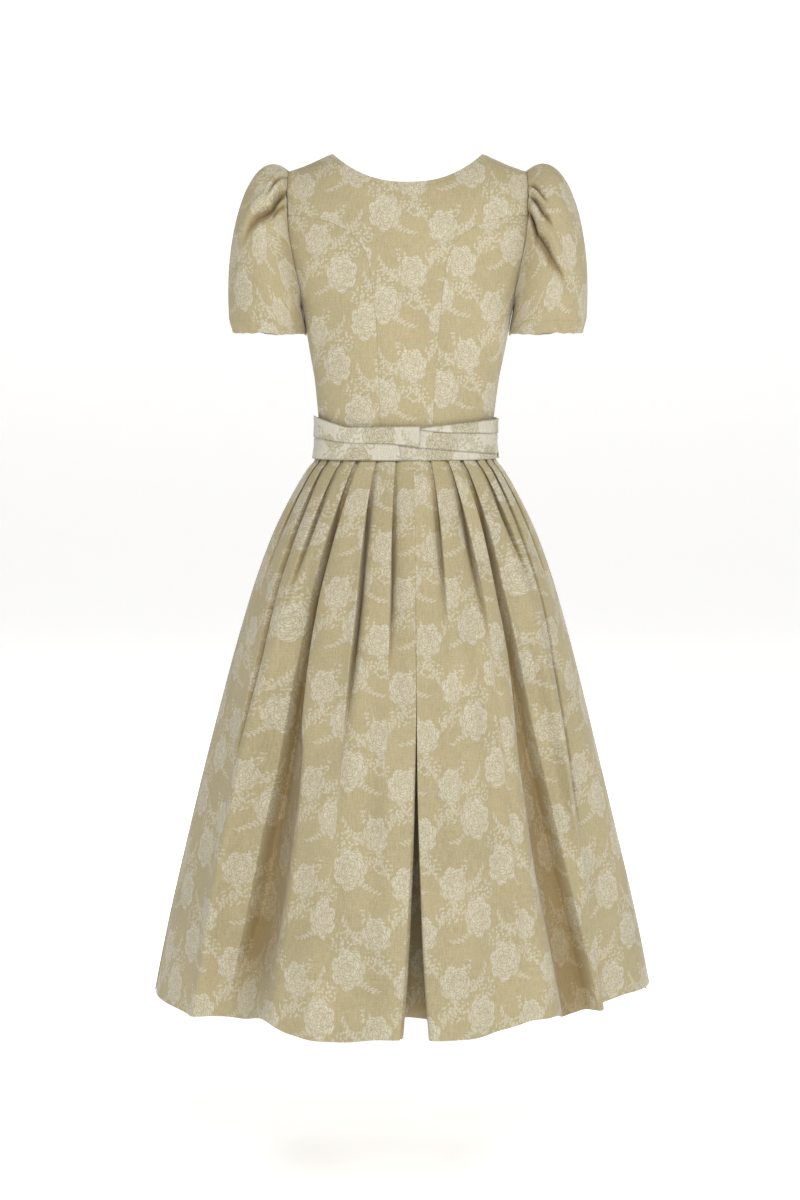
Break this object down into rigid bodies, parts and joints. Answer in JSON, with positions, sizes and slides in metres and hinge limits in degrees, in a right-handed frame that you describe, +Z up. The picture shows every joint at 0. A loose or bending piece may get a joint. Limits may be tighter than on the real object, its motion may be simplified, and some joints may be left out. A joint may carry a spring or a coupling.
{
  "type": "dirndl",
  "caption": "Worn-form dirndl: fitted bodice with curved back seams and scoop neck, short puffed sleeves, wound sash and full pleated skirt, hollow, open at neck, sleeves and hem.",
  "frame": {"origin": "between the inner ends of the two shoulder seams, where the wearer's shoulders carry the dress", "axes": "+Z up, +Y the way the wearer faces, so that the back of the dress faces -Y, and +X the wearer's right side"},
  "size_m": [0.7015, 0.6151, 1.1868],
  "materials": {
    "dress_linen": "khaki-gold linen jacquard, matt slubbed ground with a softly satiny pale rose and leaf pattern",
    "sash_linen": "cream side of a like jacquard, with thin olive-grey pattern lines"
  },
  "bodies": {
    "root": {"back_centre": "dress_linen", "back_side_left": "dress_linen", "back_side_right": "dress_linen", "front_left": "dress_linen", "front_right": "dress_linen", "sleeve_left": "dress_linen", "sleeve_right": "dress_linen", "skirt_back": "dress_linen", "skirt_front": "dress_linen", "sash_left_upper": "sash_linen", "sash_left_lower": "sash_linen", "sash_right_top": "sash_linen", "sash_right_middle": "sash_linen", "sash_right_lower": "sash_linen", "sash_front": "sash_linen"}
  },
  "joints": []
}
